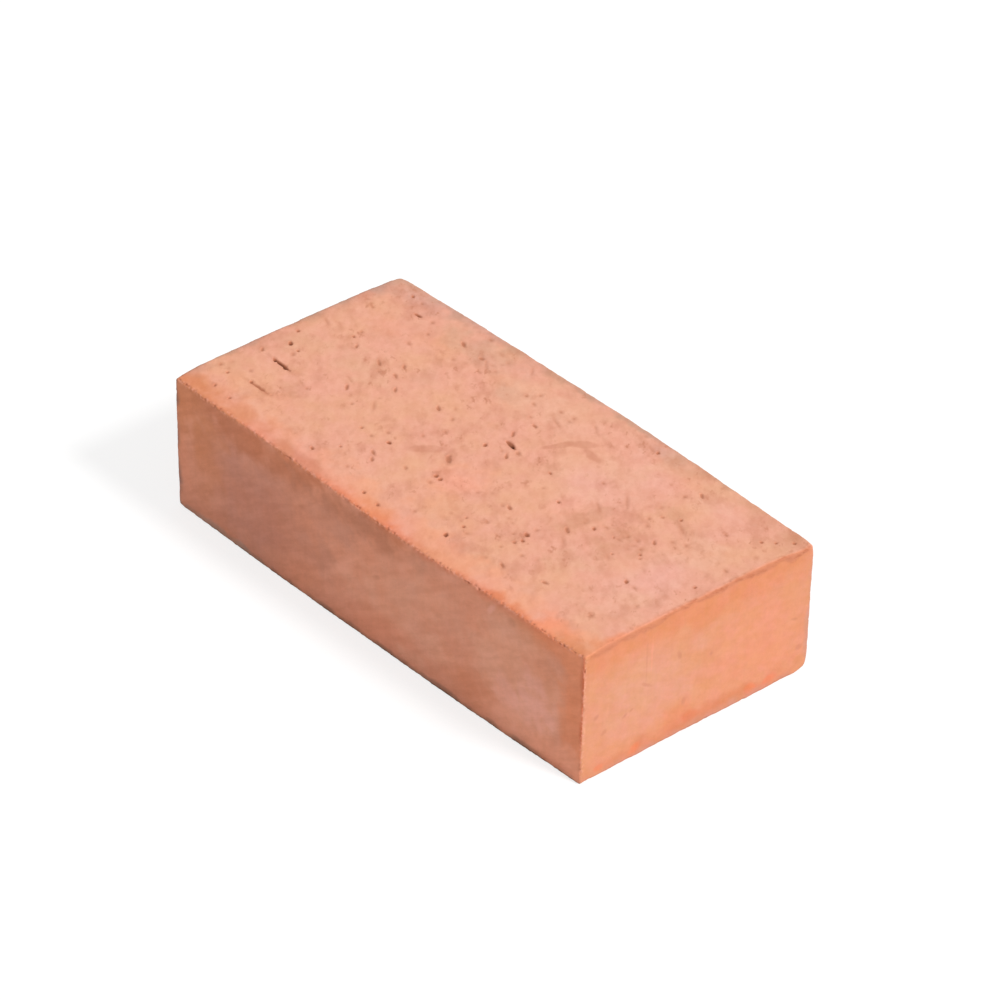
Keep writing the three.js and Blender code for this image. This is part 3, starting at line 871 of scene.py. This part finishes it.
EXIT_PATCHES = [
    ((0, 57), (90, 12), 0, "amber", 0.90, 1.0),
    ((-46, 56), (20, 8), 0, "amber", 0.60, 1.0),
    ((25, 53), (62, 8), 0, "amber", 0.55, 1.0),
    ((-28, 29), (32, 25), 0, "tan", 0.85, 1.0),
    ((-6, 25), (9, 14), 0, "tan", 0.50, 1.0),
    ((34, 30), (30, 26), 0, "ginger", 0.70, 1.0),
    ((1, 40), (5, 6), 20, "tan", 0.50, 1.0),
    ((38, 16), (20, 10), 0, "ginger", 0.50, 1.0),
    ((-11, 10), (9, 8), 25, "amber", 0.65, 0.8),
    ((-4, 6.5), (5.5, 3.2), 0, "ember", 0.70, 0.8),
    ((0, 3), (70, 8), 0, "rust", 0.70, 1.0),
    ((-32, 4), (3.5, 3), 0, "ember", 0.70, 0.7),
    ((-50, 4), (3, 2), 0, "ember", 0.60, 0.7),
    ((28.5, 4.5), (3.5, 3.5), -40, "ember", 0.65, 0.7),
    ((38, 4.5), (5, 2.6), 0, "ember", 0.60, 0.7),
    ((6.5, 32), (1.6, 2), 0, "umber", 0.60, 0.9),
    ((-10, 39), (1.2, 2.4), 20, "umber", 0.60, 0.9),
    ((-51.5, 29.5), (2, 1.6), 30, "umber", 0.60, 0.9),
    ((-48, 20), (2, 1.4), 30, "umber", 0.50, 0.9),
    ((-7, 15.5), (1.2, 2.2), 0, "umber", 0.55, 0.9),
    ((53, 13), (2, 1.6), 0, "umber", 0.55, 0.9),
    ((-27, 46), (0.6, 13), 0, "umber", 0.30, 0.9),
    ((-24.4, 47), (0.6, 11), 0, "coral", 0.40, 0.9),
    ((-37, 23), (2, 1.1), 30, "umber", 0.60, 0.9),
    ((-33.8, 24.2), (1.8, 1), 30, "umber", 0.55, 0.9),
    ((-27, 33), (4, 0.8), -33, "umber", 0.45, 0.9),
    ((50, 28), (3, 1), -20, "umber", 0.60, 0.9),
    ((-60.5, 31), (2.9, 60), 0, "salmon", 0.80, 0.7),
    # Painted shade along the back exit upright and along the foot.
    ((59.5, 31), (3.4, 60), 0, "painted taupe shade", 0.85, 0.9),
    ((0, 0), (70, 4.6), 0, "painted taupe shade", 0.80, 1.0),
]
ENTRY_PATCHES = [
    ((12, 24), (34, 20), 0, "russet", 0.80, 0.8),
    ((-40, 44), (18, 20), 0, "coral", 0.75, 0.8),
    # Painted shade along the foot.
    ((0, 0), (120, 3.6), 0, "painted foot shade", 0.60, 0.8),
]
# The faces with their patches: axis that a face lies across, and its place along it in mm.
BEDS = [(2, HEIGHT, UPPER_BED_PATCHES), (2, 0.0, LOWER_BED_PATCHES)]
STRETCHERS = [(1, -HALF_WIDTH, FRONT_PATCHES), (1, HALF_WIDTH, BACK_PATCHES)]
HEADERS = [(0, HALF_LENGTH, EXIT_PATCHES), (0, -HALF_LENGTH, ENTRY_PATCHES)]
# How far a patch reaches into the brick, in mm, so that it misses the face on the other side.
PATCH_DEPTH = 45.0
# How ragged the edges of patches are. The edge of a patch of more reach than this, in mm, is
# only as ragged as that of one of this reach.
PATCH_RAGGEDNESS = 1.8
RAGGED_REACH = 14.0


def add_patches(tree, clay, place, ragged, faces):
    """Lays the patches of a pair of opposite faces over the clay."""
    for axis, level, patches in faces:
        for middle, reach, turn, shade, strength, softness in patches:
            centre, reaches, turns = list(middle), list(reach), [0.0, 0.0, 0.0]
            centre.insert(axis, level)
            reaches.insert(axis, PATCH_DEPTH)
            turns[axis] = math.radians(turn if axis == 1 else -turn)
            clay = add_group(tree, KILN_AND_SHADE_PATCH, {
                "Clay": clay, "Place": place, "Ragged": ragged, "Centre": centre,
                "Reach": reaches, "Turn": turns, "Tint": (*SHADES[shade], 1),
                "Strength": strength, "Softness": softness,
                "Unevenness": min(1.0, RAGGED_REACH / min(reach))})
    return clay


def fired_clay():
    """Matt fired clay: patched, mottled and specked, with marks where the mesh has them."""
    material = bpy.data.materials.new("fired clay")
    material.use_nodes = True
    tree = material.node_tree
    tree.nodes.clear()
    where = add_node(tree, "ShaderNodeTexCoord").outputs["Object"]
    place = add_vector_maths(tree, "MULTIPLY", where, (1 / MM, 1 / MM, 1 / MM))

    def mark(name):
        """One of the marks that the mesh carries."""
        return add_node(tree, "ShaderNodeAttribute", attribute_name=name).outputs["Fac"]

    def tinged(clay, mottle, tints):
        """The clay multiplied by two tints that take turns in a pattern."""
        one, other = tints
        tint = add_mix(tree, add_step(tree, mottle, 0.3, 0.7), (*one, 1), (*other, 1))
        return add_mix(tree, 1.0, clay, tint, "MULTIPLY")

    def marked(clay, share, strength, colour):
        """The clay with a colour laid over it."""
        return add_mix(tree, add_maths(tree, "MULTIPLY", share, strength), clay, colour)

    # Mottling of the clay, coarse to fine, and the ragged edges of patches.
    broad = add_noise(tree, place, size=18, detail=3.0)
    middling = add_noise(tree, place, size=6, detail=3.0, roughness=0.6)
    fine = add_noise(tree, place, size=1.2)
    ragged = add_maths(tree, "SUBTRACT", add_noise(tree, place, size=9), 0.5)
    ragged = add_maths(tree, "MULTIPLY", ragged, PATCH_RAGGEDNESS)

    # The beds, cut by the wire and smudged aslant where it dragged the clay.
    bed = add_patches(tree, BED_CLAY, place, ragged, BEDS)
    bed = tinged(bed, broad, BED_CLOUDS)
    aslant = add_turn(tree, place, (0, 0, 1), DRAG_SLANT)
    aslant = add_vector_maths(tree, "MULTIPLY", aslant, DRAG_STRETCH)
    gritty = add_step(tree, add_noise(tree, place, size=20, detail=1.0), 0.40, 0.60, low=0.30)
    across = add_node(tree, "ShaderNodeSeparateXYZ", {"Vector": place}).outputs["Y"]
    gritty = add_maths(tree, "MULTIPLY", gritty, add_step(tree, across, *SMOOTH_RIM))
    clouds = add_noise(tree, aslant, size=7, detail=3.0, roughness=0.6)
    clouds = add_step(tree, clouds, 0.42, 0.70, high=CLOUD_STRENGTH)
    bed = marked(bed, clouds, gritty, SMUDGE)
    bed = tinged(bed, add_noise(tree, aslant, size=2.8, detail=1.0), BED_SMEARS)
    for spacing, size, share, strength in SPECK_KINDS:
        kind = {"Place": aslant, "Spacing": spacing, "Size": size, "Share": share}
        specks = add_group(tree, SPECKS, kind)
        bed = marked(bed, specks, add_maths(tree, "MULTIPLY", gritty, strength), SMUDGE)
    bed = tinged(bed, fine, BED_GRAIN)

    # The stretchers, drawn smooth by the die and smeared aslant by the belt.
    stretcher = add_patches(tree, STRETCHER_CLAY, place, ragged, STRETCHERS)
    slanting = add_turn(tree, place, (0, 1, 0), SMEAR_SLANT)
    smears = add_streaks(tree, slanting, (1 / 16, 1 / 16, 1 / 3.5), detail=4.0, roughness=0.6)
    stretcher = tinged(stretcher, smears, STRETCHER_SMEARS)
    stretcher = tinged(stretcher, broad, STRETCHER_CLOUDS)

    # The headers, with faint streaks.
    header = add_patches(tree, HEADER_CLAY, place, ragged, HEADERS)
    header = tinged(header, add_noise(tree, place, size=8, detail=3.0), HEADER_CLOUDS)
    tilted = add_turn(tree, place, (1, 0, 0), STREAK_SLANT)
    streaks = add_streaks(tree, tilted, (0.2, 0.14, 0.4), detail=3.0)
    header = tinged(header, streaks, HEADER_STREAKS)

    # The skin of all upright faces.
    skin = add_mix(tree, add_step(tree, mark("header"), *FACING), stretcher, header)
    skin = tinged(skin, middling, SKIN_CLOUDS)
    skin = tinged(skin, add_streaks(tree, place, (0.4, 0.4, 0.025)), SKIN_STREAKS)
    skin = tinged(skin, fine, SKIN_GRAIN)

    # Marks that the wire and handling left: the lip and its crease, scuffs, bites and pits. The
    # lip, crease, bites and pits are coloured partly with painted shade, the scuffs partly with
    # painted highlight.
    clay = add_mix(tree, add_step(tree, mark("bed"), *FACING), skin, bed)
    lip_unevenness = add_step(tree, middling, 0.35, 0.65, low=0.60)
    clay = marked(clay, mark("lip"), lip_unevenness, LIP_CLAY_AND_SHADE)
    strokes = add_streaks(tree, tilted, (0.5, 0.22, 0.9))
    strokes = add_step(tree, strokes, 0.42, 0.62, low=0.12)
    clay = marked(clay, mark("crease"), strokes, CREASE_SHADE_AND_CLAY)
    # Scuffs on the arrises: lighter clay and painted highlight.
    scuff_highlights = add_noise(tree, place, size=1.4, detail=1.0)
    scuff_highlights = add_step(tree, scuff_highlights, 0.48, 0.66, high=0.6)
    clay = marked(clay, mark("scuffed_and_highlit"), scuff_highlights, SCUFFED_CLAY_AND_HIGHLIGHT)
    # Bites: broken clay with painted shade.
    clay = marked(clay, mark("bitten"), BITTEN_STRENGTH, BITTEN_CLAY_AND_SHADE)
    clay = marked(clay, mark("smudge"), SMUDGE_STRENGTH, SMUDGE)
    torn = mark("torn")
    # Pits darken with depth: the torn clay's brown with painted shade, then painted shade.
    clay = add_mix(tree, add_step(tree, torn, 0.03, 0.55), clay, TORN_BROWN_AND_SHADE)
    clay = add_mix(tree, add_step(tree, torn, 0.45, 1.10), clay, DEEP_PIT_SHADE)

    grain_height = add_step(tree, mark("bed"), *FACING, low=SKIN_GRAINS, high=BED_GRAINS)
    grains = add_noise(tree, place, size=0.9, detail=4.0, roughness=0.65)
    grains = add_maths(tree, "MULTIPLY", grains, grain_height)
    lumps = add_maths(tree, "MULTIPLY", middling, SOFT_LUMPS)
    height = add_maths(tree, "ADD", grains, lumps)
    bump = add_node(tree, "ShaderNodeBump", {"Height": height, "Distance": MM, "Strength": 1.0})

    shader = add_node(tree, "ShaderNodeBsdfPrincipled", {
        "Base Color": clay, "Roughness": CLAY_ROUGHNESS, "Specular IOR Level": CLAY_SPECULAR,
        "Normal": bump.outputs["Normal"]})
    output = add_node(tree, "ShaderNodeOutputMaterial")
    tree.links.new(shader.outputs["BSDF"], output.inputs["Surface"])
    return material


brick = bpy.data.objects.new("brick", brick_mesh())
bpy.context.scene.collection.objects.link(brick)
brick.data.materials.append(fired_clay())
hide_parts("brick_body")
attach(brick, "root")


# ---------------------------------------------------------------------------------------------
# Floor. A wide sheet of plain white paper. The camera sees it as pure white with the brick's
# shadow on it, and the brick is lit by it as by ordinary paper.

PAPER_REACH = 4.0
PAPER_WHITE = (0.8, 0.8, 0.8, 1)
# What the camera sees: paper that takes this much of the light and its shadow, and a glow.
SHADOW_PAPER = (0.3, 0.3, 0.3, 1)
PAPER_GLOW = 0.76


def white_paper():
    """Paper that is pure white to the camera, apart from shadows."""
    material = bpy.data.materials.new("white paper")
    material.use_nodes = True
    tree = material.node_tree
    tree.nodes.clear()
    shaded = add_node(tree, "ShaderNodeBsdfDiffuse", {"Color": SHADOW_PAPER})
    glow = add_node(tree, "ShaderNodeEmission", {"Color": (1, 1, 1, 1), "Strength": PAPER_GLOW})
    seen = add_node(tree, "ShaderNodeAddShader", {0: shaded.outputs[0], 1: glow.outputs[0]})
    paper = add_node(tree, "ShaderNodeBsdfDiffuse", {"Color": PAPER_WHITE})
    rays = add_node(tree, "ShaderNodeLightPath")
    choice = add_node(tree, "ShaderNodeMixShader", {
        0: rays.outputs["Is Camera Ray"], 1: paper.outputs[0], 2: seen.outputs[0]})
    add_node(tree, "ShaderNodeOutputMaterial", {"Surface": choice.outputs[0]})
    return material


corners = [(x * PAPER_REACH, y * PAPER_REACH, 0) for x, y in ((-1, -1), (1, -1), (1, 1), (-1, 1))]
floor = bpy.data.objects.new("floor", bpy.data.meshes.new("floor"))
floor.data.from_pydata(corners, [], [(0, 1, 2, 3)])
floor.data.materials.append(white_paper())
bpy.context.scene.collection.objects.link(floor)


# ---------------------------------------------------------------------------------------------
# Light. A large soft lamp above the exit header, and an even white room around the brick,
# which lights it half as brightly as the camera sees it.

LAMP_FROM = Vector((0.70, 0.167, 0.69))
LAMP_STRENGTH = 2.3
LAMP_SPREAD = math.radians(12)
ROOM_LIGHT, ROOM_SEEN = 0.5, 1.0

lamp = bpy.data.objects.new("soft lamp", bpy.data.lights.new("soft lamp", "SUN"))
lamp.data.energy = LAMP_STRENGTH
lamp.data.angle = LAMP_SPREAD
lamp.rotation_euler = LAMP_FROM.to_track_quat("Z", "Y").to_euler()
bpy.context.scene.collection.objects.link(lamp)

world = bpy.data.worlds.new("white room")
world.use_nodes = True
room = world.node_tree
room.nodes.clear()
rays = add_node(room, "ShaderNodeLightPath")
levels = {"Factor": rays.outputs["Is Camera Ray"], "A": ROOM_LIGHT, "B": ROOM_SEEN}
strength = add_node(room, "ShaderNodeMix", levels, data_type="FLOAT").outputs[0]
white = add_node(room, "ShaderNodeBackground", {"Color": (1, 1, 1, 1), "Strength": strength})
add_node(room, "ShaderNodeOutputWorld", {"Surface": white.outputs[0]})
bpy.context.scene.world = world
bpy.context.scene.view_settings.view_transform = "Standard"
